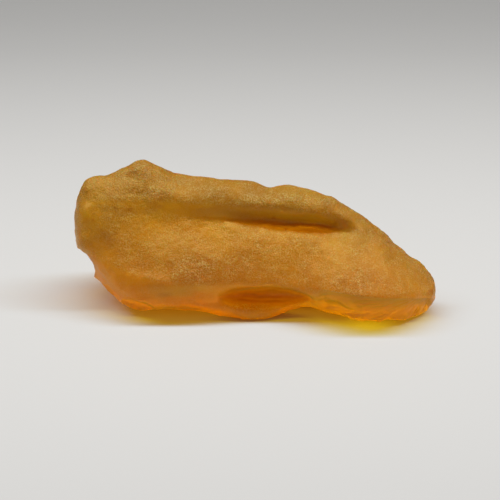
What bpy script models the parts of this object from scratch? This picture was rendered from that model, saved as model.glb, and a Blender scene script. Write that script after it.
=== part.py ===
"""Raw copal: one lump of tree resin, lying on its worn flat underside.

The lump is lofted in millimetres through feature lines that run from its left end to its right
end, such as the crest, the brow over the flow trough and the front edge of the belly. Soft lumps
and dents are then pressed into the skin, shell-shaped fracture scars are bitten out of it, and the
underside is worn flat at z = 0. The front of the lump faces -Y.
"""

import math

import bpy
import numpy as np
from mathutils import Euler, Vector, noise

MM = 0.001
TINY = 1e-9
RESIN_COLOUR = (0.48, 0.23, 0.035, 1.0)
RESIN_ROUGHNESS = 0.42
RESIN_IOR = 1.54

# Driving dimensions, in millimetres
LENGTH = 82.2
LEFT_STATION = -37.3
RIGHT_STATION = 37.3
LEFT_NOSE = 4.2
RIGHT_NOSE = LENGTH - LEFT_NOSE - RIGHT_STATION + LEFT_STATION
LEFT_NOSE_CENTRE = (6.0, 17.0)
RIGHT_NOSE_CENTRE = (-2.5, 5.6)
NOSE_BLUNTNESS = 2.4
BASE_WEAR = 0.12

# How finely the skin is laid out before it is thinned to its final faces
STATION_STEP = 0.36
STEPS_IN_SPAN = 14
NOSE_RINGS = 14
FINAL_TRIANGLES = 9600

# The feature lines, in the order in which they go round a cross-section from the top over the front:
# each is a list of (x, y, z) in millimetres, from the left end to the right end
CREST = [
    (-37.3, 5.0, 29.6), (-33.2, 5.5, 30.1), (-29.1, 6.0, 31.8), (-25.7, 6.0, 33.6), (-22.7, 6.0, 32.8),
    (-19.6, 6.0, 31.0), (-15.0, 6.0, 30.0), (-8.2, 5.5, 29.1), (-0.5, 5.0, 28.2), (3.2, 5.0, 27.1),
    (5.9, 5.0, 27.6), (12.7, 4.5, 26.8), (18.2, 4.0, 25.1), (23.6, 2.8, 21.8), (28.2, 1.8, 18.6),
    (33.6, 0.6, 13.6), (37.3, -0.4, 11.0),
]
BROW = [
    (-37.3, 1.0, 26.6), (-33.2, 0.6, 27.0), (-21.8, -0.3, 26.4), (-12.7, -0.8, 25.6), (0.9, -1.2, 25.0),
    (10.0, -1.8, 24.4), (16.8, -2.0, 23.1), (22.5, -1.8, 20.7), (28.2, -2.7, 17.1), (33.6, -3.2, 12.8),
    (37.3, -3.6, 9.7),
]
TROUGH = [
    (-37.3, -0.8, 23.6), (-33.2, -1.3, 24.1), (-21.8, -1.0, 23.5), (-12.7, -0.2, 22.6), (0.9, 0.9, 21.3),
    (10.0, 0.9, 20.3), (16.8, 0.1, 19.6), (22.5, -2.4, 18.7), (28.2, -4.6, 16.3), (33.6, -5.1, 12.5),
    (37.3, -5.1, 9.1),
]
SHELF = [
    (-37.3, -1.6, 21.0), (-33.2, -2.4, 21.6), (-21.8, -2.2, 21.1), (-12.7, -2.1, 20.6), (0.9, -2.2, 19.2),
    (10.0, -2.8, 18.3), (16.8, -3.9, 17.9), (22.5, -5.4, 17.4), (28.2, -7.2, 15.2), (33.6, -7.3, 11.7),
    (37.3, -6.8, 8.4),
]
SLOPE = [
    (-37.3, -2.4, 16.6), (-33.2, -4.2, 16.9), (-21.8, -6.0, 16.6), (-12.7, -6.2, 16.0), (0.9, -6.0, 14.9),
    (10.0, -6.6, 14.2), (16.8, -8.5, 14.1), (23.6, -10.8, 13.6), (28.2, -11.5, 12.7), (33.6, -10.3, 10.0),
    (37.3, -8.5, 7.3),
]
BELLY = [
    (-37.3, -1.6, 12.2), (-33.2, -6.0, 10.6), (-28.6, -8.6, 9.3), (-21.8, -9.9, 9.9), (-12.7, -9.5, 10.4),
    (-5.9, -8.8, 10.0), (0.9, -8.6, 9.4), (10.0, -9.4, 9.2), (16.8, -12.6, 9.5), (23.6, -15.2, 9.4),
    (28.2, -15.0, 9.0), (33.6, -12.6, 7.6), (37.3, -9.2, 5.7),
]
HOLLOW = [
    (-37.3, -0.4, 9.2), (-33.2, -4.8, 7.2), (-28.6, -8.0, 5.9), (-21.8, -9.2, 6.2), (-12.7, -8.2, 6.4),
    (-5.9, -7.2, 6.6), (0.9, -6.6, 6.4), (7.7, -6.8, 6.0), (12.3, -8.4, 5.4), (16.8, -11.0, 5.2),
    (23.6, -14.2, 5.9), (28.2, -13.8, 5.5), (33.6, -11.4, 4.2), (37.3, -8.2, 3.0),
]
LIP = [
    (-37.3, 1.6, 6.4), (-33.2, -2.6, 4.6), (-28.6, -6.8, 2.8), (-21.8, -8.1, 3.1), (-12.7, -7.8, 3.1),
    (-5.9, -7.9, 3.2), (0.9, -8.1, 3.2), (6.5, -7.2, 3.0), (10.4, -5.6, 2.8), (16.8, -7.8, 2.4),
    (23.6, -12.4, 2.9), (28.2, -12.2, 2.5), (33.6, -10.4, 1.7), (37.3, -7.0, 0.8),
]
FRONT_HEEL = [
    (-37.3, 5.0, 5.8), (-33.2, 2.6, 3.0), (-28.6, 0.6, 0.7), (-21.8, 0.4, -0.6), (-12.7, -1.2, -1.0),
    (-5.0, -5.8, -0.9), (2.0, -6.6, -0.9), (6.5, -4.0, -0.7), (11.0, -0.6, -0.4), (16.8, -3.6, -0.5),
    (23.6, -6.4, -0.6), (28.2, -6.6, -0.6), (37.3, -4.6, -0.3),
]
BACK_HEEL = [
    (-37.3, 9.0, 8.0), (-33.2, 8.8, 4.2), (-28.6, 8.8, 0.8), (-21.8, 8.8, -0.6), (-8.0, 8.0, -0.9),
    (10.0, 7.4, -0.8), (20.0, 5.2, -0.7), (28.2, 2.6, -0.6), (37.3, 0.6, 0.4),
]
LOW_FLANK = [
    (-37.3, 12.0, 11.0), (-33.2, 13.4, 7.8), (-21.8, 15.2, 5.8), (-8.0, 14.2, 5.6), (8.0, 13.6, 5.0),
    (20.0, 10.8, 4.4), (28.2, 7.2, 3.9), (37.3, 2.6, 3.2),
]
FLANK = [
    (-37.3, 12.8, 17.0), (-33.2, 15.2, 15.4), (-21.8, 17.2, 14.2), (-8.0, 15.6, 14.0), (8.0, 15.0, 12.8),
    (20.0, 11.6, 10.4), (28.2, 7.8, 8.6), (37.3, 2.6, 6.0),
]
NAPE = [
    (-37.3, 9.8, 25.2), (-33.2, 11.4, 25.4), (-21.8, 12.8, 25.4), (-8.0, 11.8, 23.4), (8.0, 10.8, 21.4),
    (20.0, 8.4, 18.2), (28.2, 5.0, 13.6), (37.3, 1.4, 8.6),
]
FEATURE_LINES = [
    CREST, BROW, TROUGH, SHELF, SLOPE, BELLY, HOLLOW, LIP, FRONT_HEEL, BACK_HEEL, LOW_FLANK, FLANK, NAPE,
]

# Marks on the front are laid out on a plane that leans back by this angle: across it runs x, and up
# it runs the rise. Each is (x, rise, reach across, reach up, depth), and a negative depth stands out.
# A mark fades out where the skin turns away from that plane.
FRONT_LEAN = math.radians(25)
TURN_AWAY = 4.0
FRONT_MARKS = [
    (-28.6, 21.8, 1.3, 1.1, 0.9),  # round pit at the left end of the trough
    (-28.6, 21.8, 2.6, 2.3, -0.25),  # the soft rim round it
    (-32.0, 22.2, 0.9, 0.8, 0.45),  # small pit beside it
    (-28.4, 28.6, 6.5, 2.0, 0.4),  # dip between the crest and the brow
    (-20.5, 24.8, 6.5, 2.4, -0.5),  # swells along the brow
    (-9.0, 25.4, 6.0, 2.6, -0.5),
    (4.6, 24.0, 7.0, 2.4, -0.5),
    (16.6, 23.6, 4.0, 2.2, -0.6),
    (-15.0, 27.4, 4.0, 1.8, 0.5),
    (-33.2, 14.6, 4.4, 4.4, 0.6),  # dark dent low on the left end
    (-38.6, 14.6, 2.8, 2.2, -0.8),  # knob on the left edge
    (-36.6, 20.5, 3.4, 3.0, -0.35),
    (-26.6, 9.2, 6.5, 3.2, 0.45),  # dents and swells of the lower left
    (-32.2, 6.6, 3.6, 2.2, 0.35),
    (-20.8, 5.2, 7.0, 3.4, -0.45),
    (-11.5, 10.0, 7.5, 4.0, -0.6),  # broad flow lobes of the belly
    (-1.5, 13.0, 6.0, 5.0, -0.35),
    (10.0, 9.2, 5.5, 4.5, 0.45),
    (20.5, 6.0, 6.5, 4.5, -0.5),
    (30.5, 8.4, 5.0, 4.0, 0.4),
    (-20.0, 17.0, 8.0, 3.0, 0.35),
    (4.8, 19.2, 0.8, 2.4, 0.4),  # short cracks across the trough
    (7.6, 17.8, 0.7, 1.6, 0.3),
    (-25.6, 1.4, 3.4, 0.9, -0.45),  # curled ridge of resin on the lower left edge
    (-2.6, -0.6, 5.5, 1.0, -0.4),  # pale swell along the lip
]

# Swells and dents elsewhere: (centre), (reach along x, y, z), depth
SIDE_MARKS = [
    ((-16.0, 15.5, 21.0), (17.0, 7.0, 3.6), -0.8),  # flow lobes along the back
    ((-12.0, 17.0, 16.0), (19.0, 7.0, 2.8), 0.8),
    ((-2.0, 16.0, 11.0), (17.0, 7.0, 3.8), -0.7),
    ((14.0, 12.5, 14.5), (12.0, 6.0, 3.4), -0.6),
    ((18.0, 11.5, 10.0), (12.0, 6.0, 2.6), 0.6),
    ((-24.0, 17.0, 9.0), (9.0, 7.0, 4.0), -0.7),
    ((-38.5, 7.0, 17.5), (4.0, 5.0, 6.0), 0.5),  # dent in the left end
    ((-35.5, 12.5, 20.5), (5.0, 5.0, 6.0), -0.6),
    ((4.0, 8.5, 27.0), (2.6, 5.0, 3.0), 0.5),  # the notch of the crest runs on over the back
    ((36.0, 4.0, 8.0), (5.0, 5.0, 4.0), 0.4),
]

# Fracture scars: (deepest point), (tip up, roll, turn from the front) of the way it faces in degrees,
# and the shell's half-lengths (across, deep, up). Skin inside the shell is pushed out to its wall,
# which wavers by a fraction of a millimetre.
SCARS = [
    ((2.0, -3.3, 3.5), (25, 0, 0), (11.0, 5.4, 2.4)),  # the hollow over the lip
    ((-9.0, -7.0, 3.5), (25, 0, 0), (7.0, 2.6, 1.6)),  # its shallow left tail
    ((25.5, -13.1, 4.8), (0, 4, -3), (14.0, 13.6, 5.2)),  # three shells side by side on the foot
    ((33.4, -10.7, 4.2), (0, -6, 32), (9.0, 10.0, 4.8)),
    ((18.2, -11.2, 4.8), (-5, 8, -25), (7.0, 9.0, 4.0)),
    ((-36.9, 3.6, 7.4), (0, -25, -90), (30.0, 7.6, 4.9)),  # undercut of the left end
    ((-33.6, -3.0, 5.2), (-20, 0, -38), (8.0, 9.0, 6.0)),  # chips along the lower left edge
    ((-27.0, -6.6, 3.6), (-30, 10, -8), (9.0, 8.0, 5.0)),
    ((-38.8, 9.6, 24.2), (28, 30, -112), (30.0, 40.0, 22.0)),  # large flat scars at the back
    ((-29.0, 15.2, 8.4), (-24, 12, 166), (34.0, 40.0, 20.0)),
    ((-4.0, 12.2, 23.4), (38, -6, 180), (40.0, 60.0, 22.0)),
    ((17.0, 10.7, 15.4), (28, 16, 168), (34.0, 50.0, 20.0)),
    ((6.0, 13.2, 5.4), (-25, -8, 180), (36.0, 30.0, 16.0)),
]
SCAR_WAVER = 0.4
SCAR_WAVER_SIZE = 4.2

# Unevenness of the whole skin: (size of the lumps, height) in millimetres
LUMPS = [(17.0, 0.55), (7.5, 0.3), (3.6, 0.18), (2.0, 0.12)]
LUMPS_START = Vector((3.7, 11.2, 5.1))


def through(points, at):
    """A smooth curve through (place, value) points, read at the places in at."""
    places = np.array([p[0] for p in points], float)
    values = np.array([p[1] for p in points], float)
    gaps = np.diff(places)
    rises = np.diff(values) / gaps
    slopes = np.empty_like(values)
    slopes[1:-1] = (rises[:-1] * gaps[1:] + rises[1:] * gaps[:-1]) / (gaps[:-1] + gaps[1:])
    slopes[0], slopes[-1] = rises[0], rises[-1]
    span = np.clip(np.searchsorted(places, at, side="right") - 1, 0, len(gaps) - 1)
    share = (np.clip(at, places[0], places[-1]) - places[span]) / gaps[span]
    start = values[span] * (1 + 2 * share) * (1 - share) ** 2
    end = values[span + 1] * (3 - 2 * share) * share**2
    lean_in = slopes[span] * gaps[span] * share * (1 - share) ** 2
    lean_out = slopes[span + 1] * gaps[span] * (share - 1) * share**2
    return start + end + lean_in + lean_out


def rounded(corners, steps):
    """Closed smooth curves through the corners of many cross-sections, (sections, corners, 2)."""
    before = np.roll(corners, 1, axis=1)
    after = np.roll(corners, -1, axis=1)
    beyond = np.roll(corners, -2, axis=1)

    def knot(a, b):
        return np.sqrt(np.linalg.norm(b - a, axis=2, keepdims=True)) + TINY

    k1, k2, k3 = knot(before, corners), knot(corners, after), knot(after, beyond)
    slope_in = ((corners - before) / k1 - (after - before) / (k1 + k2) + (after - corners) / k2) * k2
    slope_out = ((after - corners) / k2 - (beyond - corners) / (k2 + k3) + (beyond - after) / k3) * k2
    curve = []
    for step in range(steps):
        s = step / steps
        curve.append(
            corners * (1 + 2 * s) * (1 - s) ** 2
            + after * (3 - 2 * s) * s**2
            + slope_in * s * (1 - s) ** 2
            + slope_out * (s - 1) * s**2
        )
    return np.stack(curve, axis=2).reshape(len(corners), -1, 2)


def nose(last, before, x, step, length, centre):
    """Rings that carry on from the last section and close over an end of the lump."""
    drift = (last - before) / step
    rings = []
    for ring in range(1, NOSE_RINGS):
        angle = math.pi / 2 * ring / NOSE_RINGS
        reach = length * math.sin(angle) ** (2 / NOSE_BLUNTNESS)
        narrowing = math.cos(angle) ** (2 / NOSE_BLUNTNESS)
        carried = last + drift * abs(reach) * narrowing
        shrunk = np.array(centre) + (carried - centre) * narrowing
        rings.append(np.column_stack([np.full(len(last), x + reach), shrunk]))
    return rings


def lofted_skin():
    """The bare loft as a grid of points, (rings, points round each ring, 3)."""
    count = round((RIGHT_STATION - LEFT_STATION) / STATION_STEP) + 1
    stations = np.linspace(LEFT_STATION, RIGHT_STATION, count)
    corners = []
    for line in FEATURE_LINES:
        depth = through([(x, y) for x, y, z in line], stations)
        height = through([(x, z) for x, y, z in line], stations)
        corners.append(np.column_stack([depth, height]))
    sections = rounded(np.stack(corners, axis=1), STEPS_IN_SPAN)
    step = stations[1] - stations[0]
    left = nose(sections[0], sections[1], LEFT_STATION, step, -LEFT_NOSE, LEFT_NOSE_CENTRE)
    right = nose(sections[-1], sections[-2], RIGHT_STATION, step, RIGHT_NOSE, RIGHT_NOSE_CENTRE)
    middle = [np.column_stack([np.full(len(s), x), s]) for x, s in zip(stations, sections)]
    return np.array(left[::-1] + middle + right)


def outward(skin):
    """The unit direction out of the skin at every point of the grid."""
    along = np.gradient(skin, axis=0)
    around = np.roll(skin, -1, axis=1) - np.roll(skin, 1, axis=1)
    out = np.cross(around, along)
    return out / np.maximum(np.linalg.norm(out, axis=2, keepdims=True), TINY)


def fade(distance):
    """One at the centre of a mark, falling smoothly to nothing at a distance of one."""
    return np.where(distance < 1, (1 - np.minimum(distance, 1) ** 2) ** 2, 0.0)


def press_front_marks(skin):
    """Dents and swells on the front, where they are seen from its leaning side."""
    for x, rise, across, up, depth in FRONT_MARKS:
        out = outward(skin)
        height = skin[..., 2] * math.cos(FRONT_LEAN) + skin[..., 1] * math.sin(FRONT_LEAN)
        facing = out[..., 2] * math.sin(FRONT_LEAN) - out[..., 1] * math.cos(FRONT_LEAN)
        distance = np.hypot((skin[..., 0] - x) / across, (height - rise) / up)
        strength = fade(distance) * np.clip(facing * TURN_AWAY, 0, 1)
        skin = skin - out * (strength * depth)[..., None]
    return skin


def press_side_marks(skin):
    """Dents and swells on the back, the ends and the top."""
    for centre, reach, depth in SIDE_MARKS:
        distance = np.linalg.norm((skin - centre) / np.array(reach), axis=2)
        skin = skin - outward(skin) * (fade(distance) * depth)[..., None]
    return skin


def unevenness(skin, size):
    """Smooth noise between about -1 and 1 at every point, with lumps of the given size."""
    points = (skin / size + np.array(LUMPS_START) * size).reshape(-1, 3)
    return np.array([noise.noise(Vector(point)) for point in points]).reshape(skin.shape[:2])


def bite_scars(skin):
    """Shell-shaped fracture scars, with a slightly wavering wall."""
    lift = SCAR_WAVER * unevenness(skin, SCAR_WAVER_SIZE)[..., None]
    for deepest, (tip, roll, turn), half in SCARS:
        facing = Euler((math.radians(-tip), math.radians(roll), math.radians(turn))).to_matrix()
        centre = Vector(deepest) + facing @ Vector((0, -half[1], 0))
        facing = np.array(facing)
        local = (skin - np.array(centre)) @ facing / half
        distance = np.maximum(np.linalg.norm(local, axis=2, keepdims=True), TINY)
        waver = 1 + lift / half[1]
        pushed = (local / distance * waver * half) @ facing.T + np.array(centre)
        skin = np.where(distance < waver, pushed, skin)
    return skin


def roughen(skin):
    """Uneven lumps all over, of several sizes."""
    out = outward(skin)
    lift = sum(height * unevenness(skin, size) for size, height in LUMPS)
    return skin + out * lift[..., None]


def closed_mesh(skin):
    """The grid as one closed mesh in metres, with a point at either end."""
    rings, around, _ = skin.shape
    points = np.vstack([skin.reshape(-1, 3), skin[0].mean(axis=0), skin[-1].mean(axis=0)])
    points[:, 2] = np.maximum(points[:, 2], 0.0)
    left_tip, right_tip = rings * around, rings * around + 1
    faces = []
    for ring in range(rings - 1):
        for a in range(around):
            b = (a + 1) % around
            near, far = ring * around, (ring + 1) * around
            faces.append((near + a, near + b, far + b, far + a))
    for a in range(around):
        b = (a + 1) % around
        faces.append((left_tip, b, a))
        faces.append((right_tip, left_tip - around + a, left_tip - around + b))
    mesh = bpy.data.meshes.new("copal_skin")
    mesh.from_pydata((points * MM).tolist(), [], faces)
    return mesh


def thinned(mesh):
    """The mesh with only as many faces as its shape needs, standing on z = 0 over the origin."""
    rough = bpy.data.objects.new("copal_skin", mesh)
    bpy.context.scene.collection.objects.link(rough)
    mesh.calc_loop_triangles()
    thin = rough.modifiers.new("thin", "DECIMATE")
    thin.ratio = FINAL_TRIANGLES / len(mesh.loop_triangles)
    thin.use_collapse_triangulate = True
    graph = bpy.context.evaluated_depsgraph_get()
    result = bpy.data.meshes.new_from_object(rough.evaluated_get(graph))
    bpy.data.objects.remove(rough)
    bpy.data.meshes.remove(mesh)

    points = np.empty(len(result.vertices) * 3)
    result.vertices.foreach_get("co", points)
    points = points.reshape(-1, 3)
    points[:, 2] = np.where(points[:, 2] < BASE_WEAR * MM, 0.0, points[:, 2])
    middle = (points.min(axis=0) + points.max(axis=0)) / 2
    points[:, :2] -= middle[:2]
    result.vertices.foreach_set("co", points.ravel())
    result.update()
    return result


def resin_material():
    material = bpy.data.materials.new("golden_resin")
    material.use_nodes = True
    shader = material.node_tree.nodes["Principled BSDF"]
    shader.inputs["Base Color"].default_value = RESIN_COLOUR
    shader.inputs["Roughness"].default_value = RESIN_ROUGHNESS
    shader.inputs["Metallic"].default_value = 0.0
    shader.inputs["IOR"].default_value = RESIN_IOR
    material.diffuse_color = RESIN_COLOUR
    return material


def main():
    for old in list(bpy.data.objects):
        bpy.data.objects.remove(old)
    skin = roughen(bite_scars(press_side_marks(press_front_marks(lofted_skin()))))
    mesh = thinned(closed_mesh(skin))
    mesh.name = "copal_lump"
    mesh.materials.append(resin_material())
    lump = bpy.data.objects.new("copal_lump", mesh)
    bpy.context.scene.collection.objects.link(lump)


main()
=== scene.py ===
"""Raw copal: the fine skin of the lump, its resin, and the pale studio round it.

Lengths are in millimetres until a mesh is written, and in metres from there on.
"""

import math

import bpy
import numpy as np
from mathutils import Euler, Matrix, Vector, noise


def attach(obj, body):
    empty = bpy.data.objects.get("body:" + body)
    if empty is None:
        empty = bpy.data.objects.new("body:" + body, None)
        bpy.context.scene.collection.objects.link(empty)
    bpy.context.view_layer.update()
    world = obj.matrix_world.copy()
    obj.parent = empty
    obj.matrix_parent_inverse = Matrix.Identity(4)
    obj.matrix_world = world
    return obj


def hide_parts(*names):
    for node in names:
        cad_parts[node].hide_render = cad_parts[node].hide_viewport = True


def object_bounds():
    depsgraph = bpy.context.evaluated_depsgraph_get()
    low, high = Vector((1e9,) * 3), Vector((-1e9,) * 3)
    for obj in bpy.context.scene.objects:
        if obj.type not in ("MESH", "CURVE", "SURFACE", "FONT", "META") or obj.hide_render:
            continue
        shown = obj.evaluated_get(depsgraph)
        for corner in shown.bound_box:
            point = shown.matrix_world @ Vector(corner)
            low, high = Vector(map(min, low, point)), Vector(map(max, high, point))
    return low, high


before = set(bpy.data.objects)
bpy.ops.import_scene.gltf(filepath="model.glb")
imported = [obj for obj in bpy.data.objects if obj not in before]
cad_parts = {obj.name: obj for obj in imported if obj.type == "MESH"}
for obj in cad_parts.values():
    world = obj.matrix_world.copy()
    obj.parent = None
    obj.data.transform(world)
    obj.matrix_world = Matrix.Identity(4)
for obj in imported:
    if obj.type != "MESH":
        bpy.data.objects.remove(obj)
cad_low, cad_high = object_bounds()

MM = 0.001
TINY = 1e-9

# The camera
VIEW_HEIGHT = math.radians(25)
VIEW_DISTANCE = 320.0
VIEW_AIM = np.array([-1.0, -0.65, 13.8])
TOWARD_VIEWER = np.array([0, -math.cos(VIEW_HEIGHT), math.sin(VIEW_HEIGHT)])
UP_IN_VIEW = np.array([0, math.sin(VIEW_HEIGHT), math.cos(VIEW_HEIGHT)])
PIXELS_PER_MM = 4.4
PICTURE_SIDE = 500
SENSOR = 36.0
CLIP_NEAR, CLIP_FAR = 0.01, 10.0

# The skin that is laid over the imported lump
VOXEL = 0.325
RELAX_STEPS = 40
RELAX_SHARE = 0.5
LUMPS_START = Vector((3.7, 11.2, 5.1))
# Small lumps all over: (size, height)
SMALL_LUMPS = [(3.6, 0.16), (2.0, 0.11), (1.2, 0.05)]
# Grain of the crust: (size, height, start of the noise), and how much of it bare resin keeps
GRAIN = [(0.66, 0.09, 1.0), (1.1, 0.06, 3.0)]
GRAIN_WHERE_BARE = 0.25
BASE_WEAR = 0.16

# How far a point has to face the front before marks on the front reach it
FRONT_BLEND = (0.0, 0.35)

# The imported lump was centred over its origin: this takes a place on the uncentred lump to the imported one
CENTRING = np.array([0.4, -0.65, 0.0])

# Fracture scars, bitten a little deeper than in the solid so that their rims are crisp: (deepest
# point), (tip up, roll, turn from the front) in degrees, half-lengths (across, deep, up), extra
# depth, gloss from 0 to 1, (point that the streaks fan out from), streak height
SCARS = [
    ((-36.9, 3.6, 7.4), (0, -25, -90), (30.0, 7.6, 4.9), 0.15, 0.4, (-38.0, 12.0, 12.0), 0.05),
    ((-33.6, -3.0, 5.2), (-20, 0, -38), (8.0, 9.0, 6.0), 0.2, 0.7, (-30.0, -6.0, 12.0), 0.08),
    ((-27.0, -6.6, 3.6), (-30, 10, -8), (9.0, 8.0, 5.0), 0.15, 0.6, (-22.0, -8.0, 12.0), 0.08),
    ((-38.8, 9.6, 24.2), (28, 30, -112), (30.0, 40.0, 22.0), 0.2, 0.5, (-38.0, 0.0, 30.0), 0.07),
    ((-29.0, 15.2, 8.4), (-24, 12, 166), (34.0, 40.0, 20.0), 0.2, 0.6, (-38.0, 14.0, 0.0), 0.07),
    ((-4.0, 12.2, 23.4), (38, -6, 180), (40.0, 60.0, 22.0), 0.2, 0.45, (-14.0, 8.0, 32.0), 0.07),
    ((17.0, 10.7, 15.4), (28, 16, 168), (34.0, 50.0, 20.0), 0.2, 0.55, (30.0, 6.0, 20.0), 0.07),
    ((6.0, 13.2, 5.4), (-25, -8, 180), (36.0, 30.0, 16.0), 0.2, 0.5, (-10.0, 14.0, 0.0), 0.07),
]
SCAR_WAVER = 0.4
SCAR_WAVER_SIZE = 4.2
SCAR_EDGE_STEPS = 2
STREAK_ACROSS = 0.75
STREAK_ALONG = 6.0
STREAK_RADIUS = 22.0
SHELL_RING = 1.9
SHELL_RING_HEIGHT = 0.02

# The broken face of the foot, from its top edge down to its jagged foot: (x, y, z)
FACE_TOP = [
    (13.0, -10.6, 9.2), (16.8, -12.6, 9.5), (23.6, -15.2, 9.4), (28.2, -15.0, 9.0), (33.6, -12.6, 7.6),
    (37.3, -9.2, 5.9), (40.0, -5.6, 4.6),
]
FACE_FOOT = [
    (13.0, -6.6, 2.6), (16.8, -8.4, 2.6), (23.6, -12.4, 2.7), (28.2, -12.2, 2.3), (33.6, -10.2, 1.7),
    (37.3, -7.0, 1.0), (40.0, -4.0, 0.8),
]
FACE_LEFT_BLEND = (12.5, 16.5)
FACE_RIGHT_BLEND = (38.0, 40.5)
FACE_FRONT_BLEND = (0.0, 0.3)
FACE_FOOT_BLEND = (-0.14, -0.04)
FACE_TOP_BLEND = (0.97, 1.05)
FACE_DISH = 0.55
FACE_DEEPEST_CUT = 1.6
FACE_FAN = (41.5, 10.0)
FACE_STREAK_HEIGHT = 0.26
FACE_FINE_STREAKS = 2.2
FACE_FINE_SHARE = 0.4
FACE_JAG = 0.7
FACE_JAG_SIZE = 2.3

# Places on the front are (across, up) as the front is seen from the view's distance
TROUGH_TOP = [
    (-24.0, 11.0), (-20.5, 11.2), (-11.4, 10.6), (-4.5, 10.2), (2.3, 9.8), (11.4, 9.1), (15.9, 8.4),
    (20.5, 7.3), (24.0, 6.0),
]
TROUGH_FOOT = [
    (-24.0, 10.4), (-20.5, 8.4), (-11.4, 6.6), (-2.3, 5.5), (6.8, 4.3), (11.4, 3.6), (15.9, 3.2),
    (20.5, 3.4), (24.0, 5.2),
]
CRUST_FOOT = [
    (-40.0, -2.0), (-35.9, -1.1), (-27.3, -5.0), (-19.3, -7.3), (-11.4, -7.7), (-5.7, -7.3),
    (2.3, -7.5), (11.4, -9.1), (18.2, -10.5), (27.7, -10.7), (42.0, -9.8),
]
HOLLOW_PLACE = (3.4, -10.2)
HOLLOW_HALF = (10.5, 2.3)
HOLLOW_BLEND = (-0.05, 0.3)
LIP_PLACE = (2.0, -14.2)
LIP_HALF = (14.0, 3.4)

# How gently the front is eased, and where each easing fades in
TROUGH_EASE_BLEND = (-2.2, 0.3)
TROUGH_EASE_STEPS = 90
BELLY_TOP_BLEND = (0.0, 2.5)
BELLY_FOOT_BLEND = (0.5, 3.5)
BELLY_LEFT_BLEND = (-38.0, -33.0)
BELLY_EASE_STEPS = 160
LIP_EASE_STEPS = 120

# The crust: how thick it is, its unevenness as (size, amount, start of the noise), and how bare it
# leaves the trough, the lower edge and the hollow
CRUST_SHARE = 0.62
CRUST_UNEVEN = [(9.0, 0.3, 2.0), (3.1, 0.2, 5.0)]
TROUGH_BARE = 0.8
TROUGH_BARE_BLEND = (-0.6, 0.9)
LOW_EDGE_BARE = 0.75
LOW_EDGE_BLEND = (-0.4, 1.2)
HOLLOW_BARE = 0.5
# Patches of thicker and thinner crust on the front: (across, up), (half-width, half-height), amount
CRUST_PATCHES = [
    ((-21.0, 13.1), (7.0, 2.2), 0.35),
    ((-8.0, 13.4), (5.5, 2.6), 0.5),
    ((5.7, 11.9), (9.5, 2.6), 0.5),
    ((17.6, 11.2), (2.6, 1.6), 0.5),
    ((-8.0, -4.0), (16.0, 5.0), 0.35),
    ((24.0, -8.0), (12.0, 4.0), 0.3),
    ((0.0, -13.0), (8.0, 1.5), 0.6),
    ((-36.0, 6.0), (5.0, 9.0), -0.45),
    ((-26.0, 9.5), (5.0, 2.5), -0.25),
    ((-33.0, -1.0), (4.0, 4.0), -0.25),
]

# Dark reddish paint: painted shade in the hollow and along the trough's lower side, where the brow's shadow
# falls, and on the front stains, pits, cracks and one broad patch of painted shade in the trough, as
# (across, up), (half-width, half-height), strength
HOLLOW_SHADE = 0.75
TROUGH_SHADE = 0.8
TROUGH_SHADE_RISE = 1.9
TROUGH_SHADE_HALF = 2.4
TROUGH_SHADE_LEFT = (-10.0, 0.0)
TROUGH_SHADE_RIGHT = (17.0, 24.0)
STAIN_AND_SHADE_SPOTS = [
    ((-32.5, 2.5), (3.4, 3.6), 0.55),
    ((-30.7, 9.5), (0.5, 0.5), 1.0),
    ((-27.3, 9.3), (1.0, 0.9), 0.6),
    ((-35.5, 8.2), (0.5, 0.4), 0.7),
    ((-35.7, 6.8), (0.4, 0.4), 0.6),
    ((-25.0, -3.4), (4.6, 1.6), 0.3),
    ((-19.3, -10.2), (2.6, 0.9), 0.4),
    # Painted shade: a broad patch inside the trough
    ((6.0, 6.0), (9.0, 1.8), 0.35),
    ((5.4, 6.5), (0.7, 1.8), 0.8),
    ((8.1, 4.9), (0.6, 0.9), 0.7),
    ((-17.0, 18.0), (3.0, 1.2), 0.45),
    ((41.0, -9.5), (1.2, 1.2), 0.5),
]

# Where clean breaks let more lamplight through: the foot's underside (x, y), and the scars
CLEAR_FOOT = (24.0, -12.0)
CLEAR_FOOT_HALF = (11.0, 7.0)
CLEAR_FOOT_BLEND = (3.0, 5.0)
CLEAR_SCARS = 0.6

# The resin. Its density is for each metre that light goes through it
RESIN_IOR = 1.54
RESIN_PASSED_COLOUR = (0.968, 0.905, 0.0, 1.0)
RESIN_DENSITY = 400.0
RESIN_TRANSMISSION = 0.65
RESIN_SPECULAR = 0.22
RESIN_SHINE_TINT = (1.0, 0.75, 0.30, 1.0)
RESIN_BARE_ROUGHNESS = 0.30
RESIN_CRUST_ROUGHNESS = 0.55
GLOW_SCALE = 0.003
GLOW_RADIUS = (1.0, 0.42, 0.1)
GLOW_SHARE = 0.5

# What the lump leaves of lamplight, by the skin that the light goes through
LAMP_TINT_FROSTED = (0.50, 0.33, 0.05, 1.0)
LAMP_TINT_BROKEN = (0.98, 0.92, 0.50, 1.0)
LAMP_TINT_INSIDE = (1.0, 0.93, 0.55, 1.0)

# The resin's colours: bare, between the crust's grains, the grains, which are pale sugar and partly painted
# glints, and the stains, which are partly painted shade
BARE_DARK = (0.82, 0.39, 0.012, 1.0)
BARE_LIGHT = (0.90, 0.50, 0.022, 1.0)
GAP_DARK = (0.58, 0.25, 0.006, 1.0)
GAP_LIGHT = (0.66, 0.31, 0.010, 1.0)
SUGAR_AND_GLINT = (1.0, 0.88, 0.30, 1.0)
STAIN_AND_SHADE_RED = (0.40, 0.09, 0.004, 1.0)
STAIN_AND_SHADE_STRENGTH = 0.8
CLOUD_SIZE = 11.0
SUGAR_AND_GLINT_SIZE = 0.30
CLUMP_SIZE = 1.7
CLUMP_LEAST = 0.3
BUMP_SIZE = 0.34
BUMP_HEIGHT = 0.14
BUMP_STRENGTH = 0.8
BUMP_WHERE_BARE = 0.15

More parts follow.
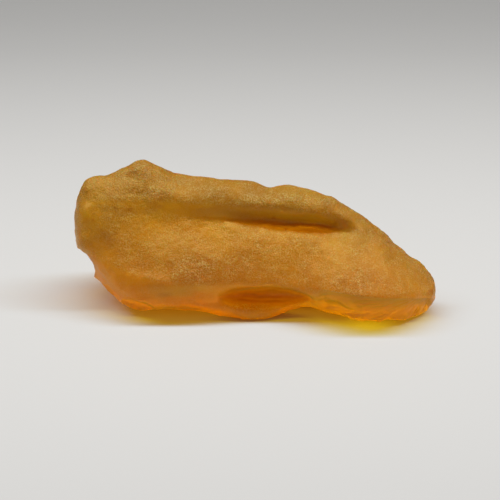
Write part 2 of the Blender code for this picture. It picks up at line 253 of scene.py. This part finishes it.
# The pale sheet, in metres: flat under the lump, and bent up far behind it
SHEET_FRONT = -1.2
SHEET_FLAT_TO = 0.20
SHEET_HALF_WIDTH = 1.5
SHEET_BEND_RADIUS = 0.6
SHEET_BEND = math.radians(80)
SHEET_BEND_STEPS = 24
SHEET_GAP = 0.00008
SHEET_COLOUR = (0.62, 0.612, 0.595, 1.0)
SHEET_ROUGHNESS = 0.6
SHEET_SPECULAR = 0.2

# The lighting, in metres and watts
STRIP_PLACE = (0.0, 0.0, 0.34)
STRIP_SIZE = (0.8, 0.035)
STRIP_POWER = 2.3
ROOM_LIGHT = 0.06


def fade(distance):
    """One at nothing, falling smoothly to nothing at one."""
    return (1 - np.minimum(distance, 1) ** 2) ** 2


def ramp(value, low, high):
    """A smooth step from nothing at low to one at high."""
    share = np.clip((value - low) / (high - low), 0, 1)
    return share * share * (3 - 2 * share)


def rumble(points, size, start=0.0):
    """Smooth noise between about -1 and 1 at every point, with lumps of the given size."""
    placed = points / size + np.array(LUMPS_START) * (size + start)
    return np.array([noise.noise(Vector(point)) for point in placed])


class Skin:
    """The lump's fine mesh, with its points held in millimetres."""

    def __init__(self, mesh):
        self.mesh = mesh
        self.edges = np.empty(len(mesh.edges) * 2, int)
        mesh.edges.foreach_get("vertices", self.edges)
        self.edges = self.edges.reshape(-1, 2)
        self.count = len(mesh.vertices)
        self.degree = np.bincount(self.edges.ravel(), minlength=self.count)
        self.points = np.empty(self.count * 3)
        mesh.vertices.foreach_get("co", self.points)
        self.points = self.points.reshape(-1, 3) / MM

    def write(self):
        self.mesh.vertices.foreach_set("co", (self.points * MM).ravel())
        self.mesh.update()

    def outward(self):
        """The direction that the skin faces at every point."""
        self.write()
        out = np.empty(self.count * 3)
        self.mesh.vertex_normals.foreach_get("vector", out)
        return out.reshape(-1, 3)

    def relaxed(self, values, steps):
        """Values at the points, each drawn again and again towards its neighbours'."""
        near, far = self.edges[:, 0], self.edges[:, 1]
        columns = values.reshape(self.count, -1).T
        made = []
        for column in columns:
            for _ in range(steps):
                total = np.bincount(near, weights=column[far], minlength=self.count)
                total += np.bincount(far, weights=column[near], minlength=self.count)
                column = column + RELAX_SHARE * (total / self.degree - column)
            made.append(column)
        return np.array(made).T.reshape(values.shape)

    def ease(self, mask, steps):
        """Draws the points towards their neighbours' middle, by as much as the mask says."""
        near, far = self.edges[:, 0], self.edges[:, 1]
        pull = RELAX_SHARE * mask
        for _ in range(steps):
            for axis in range(3):
                column = self.points[:, axis]
                total = np.bincount(near, weights=column[far], minlength=self.count)
                total += np.bincount(far, weights=column[near], minlength=self.count)
                self.points[:, axis] = column + pull * (total / self.degree - column)

    def note(self, name, values):
        """Keeps a number from 0 to 1 at every point, for the material to read."""
        layer = self.mesh.attributes.new(name, "FLOAT", "POINT")
        layer.data.foreach_set("value", np.clip(values, 0, 1).astype(np.float32))


def fine_copy(node):
    """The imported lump's surface as an even, fine mesh of its own."""
    rough = bpy.data.objects.new("rough_lump", node.data.copy())
    bpy.context.scene.collection.objects.link(rough)
    grid = rough.modifiers.new("even_grid", "REMESH")
    grid.mode = "VOXEL"
    grid.voxel_size = VOXEL * MM
    graph = bpy.context.evaluated_depsgraph_get()
    mesh = bpy.data.meshes.new_from_object(rough.evaluated_get(graph))
    bpy.data.objects.remove(rough)
    mesh.name = "copal_skin"
    return Skin(mesh)


def front_places(points):
    """Where each point lies on the front: (across, up) about the middle of the lump."""
    offset = points - VIEW_AIM
    nearness = VIEW_DISTANCE / (VIEW_DISTANCE - offset @ TOWARD_VIEWER)
    return np.column_stack([offset[:, 0] * nearness, (offset @ UP_IN_VIEW) * nearness])


def facing_front(out):
    return ramp(out @ TOWARD_VIEWER, *FRONT_BLEND)


def spot(places, centre, reach):
    """A round patch that fades out at its reach."""
    return fade(np.linalg.norm((places - centre) / np.array(reach), axis=1))


def line_height(line, across):
    return np.interp(across, [p[0] for p in line], [p[1] for p in line])


def depth_in_trough(places):
    """How far inside the trough's outline each place is, and below nothing outside it."""
    across, up = places.T
    return np.minimum(line_height(TROUGH_TOP, across) - up, up - line_height(TROUGH_FOOT, across))


def smooth_out_facets(skin):
    """Takes the flat facets off, and keeps every shape that is larger than them."""
    once = skin.relaxed(skin.points, RELAX_STEPS)
    skin.points = once + skin.relaxed(skin.points - once, RELAX_STEPS)


def raise_small_lumps(skin):
    out = skin.outward()
    lift = sum(height * rumble(skin.points, size) for size, height in SMALL_LUMPS)
    skin.points = skin.points + out * lift[:, None]


def streaks(points, fan, facing, start):
    """Noise drawn out into lines that fan out from a point."""
    off = points - fan
    around = np.arctan2(off @ facing[:, 2], off @ facing[:, 0]) * STREAK_RADIUS / STREAK_ACROSS
    away = np.linalg.norm(off, axis=1)
    return rumble(np.column_stack([around, away / STREAK_ALONG, away * 0]), 1.0, start), away


def bite_scars(skin):
    """Bites the fracture scars with crisp rims and fine streaks. Returns how glossy each point is."""
    gloss = np.zeros(skin.count)
    lift = SCAR_WAVER * rumble(skin.points - CENTRING, SCAR_WAVER_SIZE)[:, None]
    for number, (deepest, (tip, roll, turn), half, extra, shine, fan, height) in enumerate(SCARS):
        facing = Euler((math.radians(-tip), math.radians(roll), math.radians(turn))).to_matrix()
        half = np.array(half) + extra
        centre = np.array(Vector(deepest) + facing @ Vector((0, extra - half[1], 0))) + CENTRING
        facing = np.array(facing)
        local = (skin.points - centre) @ facing / half
        distance = np.maximum(np.linalg.norm(local, axis=1, keepdims=True), TINY)
        waver = 1 + lift / half[1]
        pushed = (local / distance * waver * half) @ facing.T + centre
        inside = (distance < waver)[:, 0]
        lines, away = streaks(pushed, np.array(fan) + CENTRING, facing, number)
        rings = SHELL_RING_HEIGHT * np.sin(2 * math.pi * away / SHELL_RING)
        into = (local / distance) @ facing.T
        pushed = pushed - into * (height * lines + rings)[:, None]
        skin.points = np.where(inside[:, None], pushed, skin.points)
        gloss = np.where(inside, np.maximum(gloss, shine), gloss)
    return skin.relaxed(gloss, SCAR_EDGE_STEPS)


def edge_at(edge, x):
    """The y and the z of a line of (x, y, z) points, at every x."""
    along, deep, high = zip(*edge)
    return np.interp(x, along, deep), np.interp(x, along, high)


def break_foot(skin, gloss):
    """Flattens the foot's front to one dished broken face, with streaks that fan out from its right."""
    x, y, z = (skin.points - CENTRING).T
    top_y, top_z = edge_at(FACE_TOP, x)
    foot_y, foot_z = edge_at(FACE_FOOT, x)
    foot_z = foot_z + FACE_JAG * rumble(np.column_stack([x, x * 0, x * 0]), FACE_JAG_SIZE, start=4.0)
    share = (z - foot_z) / (top_z - foot_z)
    left, left_full = FACE_LEFT_BLEND
    right_full, right = FACE_RIGHT_BLEND
    top_full, top = FACE_TOP_BLEND
    along = ramp(x, left, left_full) * ramp(-x, -right, -right_full)
    front = ramp(-skin.outward()[:, 1], *FACE_FRONT_BLEND)
    within = ramp(share, *FACE_FOOT_BLEND) * ramp(-share, -top, -top_full)
    amount = along * front * within
    fan_x, fan_z = FACE_FAN
    off = np.column_stack([x - fan_x, x * 0, z - fan_z])
    around = np.arctan2(off[:, 2], off[:, 0]) * STREAK_RADIUS / STREAK_ACROSS
    away = np.linalg.norm(off, axis=1)
    along_streak = away / STREAK_ALONG
    lines = rumble(np.column_stack([around, along_streak, away * 0]), 1.0, start=9.0)
    fine = rumble(np.column_stack([around * FACE_FINE_STREAKS, along_streak, away * 0]), 1.0, start=3.0)
    dish = FACE_DISH * np.sin(math.pi * np.clip(share, 0, 1))
    level = foot_y + (top_y - foot_y) * share + dish
    level = level + FACE_STREAK_HEIGHT * (lines + FACE_FINE_SHARE * fine)
    move = (level - y) * amount
    skin.points[:, 1] += np.clip(move, -FACE_DEEPEST_CUT, FACE_DEEPEST_CUT)
    return np.maximum(gloss, amount)


def ease_front(skin):
    """Softens the trough, the lip and the broad belly, which lie more evenly than the solid does."""
    places = front_places(skin.points)
    front = facing_front(skin.outward())
    across, up = places.T
    trough = ramp(depth_in_trough(places), *TROUGH_EASE_BLEND) * front
    skin.ease(trough, TROUGH_EASE_STEPS)
    belly = ramp(line_height(TROUGH_FOOT, across) - up, *BELLY_TOP_BLEND)
    belly = belly * ramp(up - line_height(CRUST_FOOT, across), *BELLY_FOOT_BLEND)
    belly = belly * ramp(across, *BELLY_LEFT_BLEND) * front
    skin.ease(belly, BELLY_EASE_STEPS)
    skin.ease(spot(places, LIP_PLACE, LIP_HALF) * front, LIP_EASE_STEPS)


def crust_amount(skin, gloss, hollow):
    """How thickly the sugary weathering crust lies, from 0 to 1."""
    front = facing_front(skin.outward())
    places = front_places(skin.points)
    across, up = places.T
    amount = CRUST_SHARE
    for size, more, start in CRUST_UNEVEN:
        amount = amount + more * rumble(skin.points, size, start)
    trough = ramp(depth_in_trough(places), *TROUGH_BARE_BLEND) * front
    amount = amount * (1 - TROUGH_BARE * trough)
    below = line_height(CRUST_FOOT, across) - up
    amount = amount * (1 - LOW_EDGE_BARE * ramp(below, *LOW_EDGE_BLEND) * front)
    for centre, reach, more in CRUST_PATCHES:
        amount = amount + more * spot(places, centre, reach) * front
    amount = amount * (1 - gloss) * (1 - HOLLOW_BARE * hollow)
    return np.clip(amount, 0, 1)


def hollow_amount(skin):
    """Where the grainy hollow over the lip lies, which is painted darker red as shade."""
    off = (front_places(skin.points) - HOLLOW_PLACE) / HOLLOW_HALF
    lens = ramp(1 - np.hypot(off[:, 0], off[:, 1]), *HOLLOW_BLEND)
    return lens * facing_front(skin.outward())


def stain_and_shade_amount(skin, hollow):
    """How strongly the dark reddish paint lies: stains, pits and cracks, and painted shade in the hollow and
    along the trough's lower side.
    """
    front = facing_front(skin.outward())
    places = front_places(skin.points)
    across, up = places.T
    # Painted shade along the trough's lower side, where the brow's shadow falls
    low_trough = line_height(TROUGH_FOOT, across) + TROUGH_SHADE_RISE - up
    right_from, right_to = TROUGH_SHADE_RIGHT
    along = ramp(across, *TROUGH_SHADE_LEFT) * ramp(-across, -right_to, -right_from)
    painted_trough_shade = TROUGH_SHADE * fade(np.abs(low_trough) / TROUGH_SHADE_HALF) * along * front
    # The hollow is darkened as painted shade
    amount = HOLLOW_SHADE * hollow + painted_trough_shade
    for centre, reach, strength in STAIN_AND_SHADE_SPOTS:
        amount = amount + strength * spot(places, centre, reach) * front
    return amount


def clear_amount(skin, gloss):
    """Where a clean break lets more lamplight through."""
    points = skin.points - CENTRING
    off = (points[:, :2] - CLEAR_FOOT) / CLEAR_FOOT_HALF
    low_full, low_end = CLEAR_FOOT_BLEND
    under_foot = fade(np.hypot(off[:, 0], off[:, 1])) * ramp(-points[:, 2], -low_end, -low_full)
    return np.maximum(under_foot, CLEAR_SCARS * gloss)


def roughen(skin, crust):
    """Raises the grain of the crust."""
    out = skin.outward()
    grain = sum(height * rumble(skin.points, size, start) for size, height, start in GRAIN)
    skin.points = skin.points + out * (grain * (GRAIN_WHERE_BARE + crust))[:, None]


def settle(skin):
    """Wears the underside flat on z = 0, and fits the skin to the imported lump's box."""
    low, high = skin.points.min(axis=0), skin.points.max(axis=0)
    box_low, box_high = np.array(cad_low) / MM, np.array(cad_high) / MM
    skin.points = box_low + (skin.points - low) * (box_high - box_low) / (high - low)
    skin.points[:, 2] = np.where(skin.points[:, 2] < BASE_WEAR, 0.0, skin.points[:, 2])
    skin.write()


def add(tree, kind, place, **settings):
    node = tree.nodes.new(kind)
    node.location = place
    for name, value in settings.items():
        setattr(node, name, value)
    return node


def resin_material():
    """Golden see-through resin under a sugary crust whose pale grains are partly painted glints, with
    reddish stains and painted shade in the hollow and the trough.
    """
    material = bpy.data.materials.new("copal_resin")
    material.use_nodes = True
    tree = material.node_tree
    link = tree.links.new
    shader = tree.nodes["Principled BSDF"]
    output = tree.nodes["Material Output"]

    where = add(tree, "ShaderNodeTexCoord", (-1800, 0))
    in_mm = add(tree, "ShaderNodeMapping", (-1600, 0))
    in_mm.inputs["Scale"].default_value = (1 / MM, 1 / MM, 1 / MM)
    link(where.outputs["Object"], in_mm.inputs["Vector"])

    def noise_texture(size, detail, place, roughness=0.5):
        made = add(tree, "ShaderNodeTexNoise", place)
        made.inputs["Scale"].default_value = 1 / size
        made.inputs["Detail"].default_value = detail
        made.inputs["Roughness"].default_value = roughness
        link(in_mm.outputs["Vector"], made.inputs["Vector"])
        return made.outputs["Fac"]

    def mapped(value, low, high, place, to_low=0.0, to_high=1.0):
        made = add(tree, "ShaderNodeMapRange", place)
        made.inputs["From Min"].default_value = low
        made.inputs["From Max"].default_value = high
        made.inputs["To Min"].default_value = to_low
        made.inputs["To Max"].default_value = to_high
        link(value, made.inputs["Value"])
        return made.outputs["Result"]

    def times(a, b, place):
        made = add(tree, "ShaderNodeMath", place, operation="MULTIPLY")
        link(a, made.inputs[0])
        if isinstance(b, float):
            made.inputs[1].default_value = b
        else:
            link(b, made.inputs[1])
        return made.outputs["Value"]

    def mixed(share, a, b, place):
        made = add(tree, "ShaderNodeMix", place, data_type="RGBA")
        link(share, made.inputs["Factor"])
        for socket, value in ((made.inputs[6], a), (made.inputs[7], b)):
            if isinstance(value, tuple):
                socket.default_value = value
            else:
                link(value, socket)
        return made.outputs[2]

    def note(name, place):
        made = add(tree, "ShaderNodeAttribute", place, attribute_name=name)
        return made.outputs["Fac"]

    crust = note("crust", (-1600, -600))
    clear = note("clear", (-1600, -800))
    stain_and_shade = note("stain_and_shade", (-1600, -1000))

    clouds = mapped(noise_texture(CLOUD_SIZE, 2.0, (-1400, 300)), 0.35, 0.65, (-1200, 300))
    grain = mapped(noise_texture(SUGAR_AND_GLINT_SIZE, 1.5, (-1400, 0), 0.6), 0.40, 0.68, (-1200, 0))
    patches = noise_texture(CLUMP_SIZE, 3.0, (-1400, -200))
    clumps = mapped(patches, 0.34, 0.60, (-1200, -200), CLUMP_LEAST, 1.0)

    bare = mixed(clouds, BARE_DARK, BARE_LIGHT, (-900, 300))
    between = mixed(clouds, GAP_DARK, GAP_LIGHT, (-900, 100))
    # The pale sugary grains are partly painted glints
    sugared_and_glinting = mixed(times(grain, clumps, (-1000, 0)), between, SUGAR_AND_GLINT, (-700, 100))
    crusted = mixed(crust, bare, sugared_and_glinting, (-500, 200))
    # Dark reddish paint: stains, and painted shade in the hollow and along the trough
    stained_and_shaded = mixed(times(stain_and_shade, STAIN_AND_SHADE_STRENGTH, (-700, -1000)), crusted, STAIN_AND_SHADE_RED, (-300, 200))
    link(stained_and_shaded, shader.inputs["Base Color"])

    rough = mapped(crust, 0.0, 1.0, (-900, -500), RESIN_BARE_ROUGHNESS, RESIN_CRUST_ROUGHNESS)
    link(rough, shader.inputs["Roughness"])

    bump = add(tree, "ShaderNodeBump", (-400, -300))
    bump.inputs["Distance"].default_value = BUMP_HEIGHT * MM
    bump.inputs["Strength"].default_value = BUMP_STRENGTH
    pimples = mapped(noise_texture(BUMP_SIZE, 2.0, (-1400, -400)), 0.3, 0.7, (-1200, -400))
    share = mapped(crust, 0.0, 1.0, (-900, -700), BUMP_WHERE_BARE, 1.0)
    link(times(pimples, share, (-600, -400)), bump.inputs["Height"])
    link(bump.outputs["Normal"], shader.inputs["Normal"])

    shader.inputs["Transmission Weight"].default_value = RESIN_TRANSMISSION
    shader.inputs["IOR"].default_value = RESIN_IOR
    shader.inputs["Specular IOR Level"].default_value = RESIN_SPECULAR
    shader.inputs["Specular Tint"].default_value = RESIN_SHINE_TINT
    shader.inputs["Subsurface Weight"].default_value = GLOW_SHARE
    shader.inputs["Subsurface Scale"].default_value = GLOW_SCALE
    shader.inputs["Subsurface Radius"].default_value = GLOW_RADIUS

    # Lamplight goes straight through, tinted, so that the shadow is amber and free of noise
    path = add(tree, "ShaderNodeLightPath", (0, 500))
    side = add(tree, "ShaderNodeNewGeometry", (-500, 600))
    from_outside = mixed(clear, LAMP_TINT_FROSTED, LAMP_TINT_BROKEN, (-300, 700))
    lamp_tint = mixed(side.outputs["Backfacing"], from_outside, LAMP_TINT_INSIDE, (-100, 600))
    let_through = add(tree, "ShaderNodeBsdfTransparent", (100, 400))
    link(lamp_tint, let_through.inputs["Color"])
    surface = add(tree, "ShaderNodeMixShader", (300, 200))
    link(path.outputs["Is Shadow Ray"], surface.inputs["Fac"])
    link(shader.outputs["BSDF"], surface.inputs[1])
    link(let_through.outputs["BSDF"], surface.inputs[2])
    link(surface.outputs["Shader"], output.inputs["Surface"])

    absorbed = add(tree, "ShaderNodeVolumeAbsorption", (0, -400))
    absorbed.inputs["Color"].default_value = RESIN_PASSED_COLOUR
    absorbed.inputs["Density"].default_value = RESIN_DENSITY
    link(absorbed.outputs["Volume"], output.inputs["Volume"])
    return material


def sheet_material():
    material = bpy.data.materials.new("pale_paper")
    material.use_nodes = True
    shader = material.node_tree.nodes["Principled BSDF"]
    shader.inputs["Base Color"].default_value = SHEET_COLOUR
    shader.inputs["Roughness"].default_value = SHEET_ROUGHNESS
    shader.inputs["Specular IOR Level"].default_value = SHEET_SPECULAR
    return material


def make_lump():
    """The fine skin of the lump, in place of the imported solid."""
    skin = fine_copy(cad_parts["copal_lump"])
    smooth_out_facets(skin)
    ease_front(skin)
    raise_small_lumps(skin)
    gloss = break_foot(skin, bite_scars(skin))
    hollow = hollow_amount(skin)
    crust = crust_amount(skin, gloss, hollow)
    roughen(skin, crust)
    settle(skin)
    skin.note("crust", crust)
    skin.note("clear", clear_amount(skin, gloss))
    # Stains, and painted shade in the hollow and the trough
    skin.note("stain_and_shade", stain_and_shade_amount(skin, hollow))
    skin.mesh.polygons.foreach_set("use_smooth", [True] * len(skin.mesh.polygons))
    skin.mesh.materials.clear()
    skin.mesh.materials.append(resin_material())
    lump = bpy.data.objects.new("copal_resin_lump", skin.mesh)
    bpy.context.scene.collection.objects.link(lump)
    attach(lump, "root")
    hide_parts("copal_lump")


def make_sheet():
    """A pale sheet, flat under the lump and rising gently far behind it."""
    profile = [(SHEET_FRONT, 0.0), (SHEET_FLAT_TO, 0.0)]
    for step in range(1, SHEET_BEND_STEPS + 1):
        angle = SHEET_BEND * step / SHEET_BEND_STEPS
        y = SHEET_FLAT_TO + SHEET_BEND_RADIUS * math.sin(angle)
        profile.append((y, SHEET_BEND_RADIUS * (1 - math.cos(angle))))
    points = [(side * SHEET_HALF_WIDTH, y, z - SHEET_GAP) for y, z in profile for side in (-1, 1)]
    faces = [(2 * i, 2 * i + 1, 2 * i + 3, 2 * i + 2) for i in range(len(profile) - 1)]
    mesh = bpy.data.meshes.new("pale_sheet")
    mesh.from_pydata(points, [], faces)
    mesh.polygons.foreach_set("use_smooth", [True] * len(mesh.polygons))
    mesh.materials.append(sheet_material())
    sheet = bpy.data.objects.new("pale_sheet", mesh)
    bpy.context.scene.collection.objects.link(sheet)


def make_strip_light():
    """A long narrow strip overhead, which gives the shadow its crisp front edge."""
    lamp = bpy.data.lights.new("long_strip", "AREA")
    lamp.shape = "RECTANGLE"
    lamp.size, lamp.size_y = STRIP_SIZE
    lamp.energy = STRIP_POWER
    holder = bpy.data.objects.new("long_strip", lamp)
    bpy.context.scene.collection.objects.link(holder)
    holder.location = STRIP_PLACE
    holder.rotation_mode = "QUATERNION"
    holder.rotation_quaternion = (Vector() - Vector(STRIP_PLACE)).to_track_quat("-Z", "Y")


def make_studio():
    make_sheet()
    make_strip_light()
    world = bpy.data.worlds.new("dim_room")
    world.use_nodes = True
    world.node_tree.nodes["Background"].inputs["Color"].default_value = (1.0, 1.0, 1.0, 1.0)
    world.node_tree.nodes["Background"].inputs["Strength"].default_value = ROOM_LIGHT
    bpy.context.scene.world = world
    bpy.context.scene.view_settings.view_transform = "Standard"
    bpy.context.scene.cycles.caustics_refractive = False
    bpy.context.scene.cycles.caustics_reflective = False


def make_camera():
    lens = bpy.data.cameras.new("camera")
    lens.sensor_width = SENSOR
    lens.lens = SENSOR * PIXELS_PER_MM * VIEW_DISTANCE / PICTURE_SIDE
    camera = bpy.data.objects.new("camera", lens)
    bpy.context.scene.collection.objects.link(camera)
    back = Vector(TOWARD_VIEWER)
    camera.location = (Vector(VIEW_AIM) + back * VIEW_DISTANCE) * MM
    camera.rotation_mode = "QUATERNION"
    camera.rotation_quaternion = (-back).to_track_quat("-Z", "Y")
    lens.clip_start = CLIP_NEAR
    lens.clip_end = CLIP_FAR
    bpy.context.scene.camera = camera


make_lump()
make_studio()
make_camera()
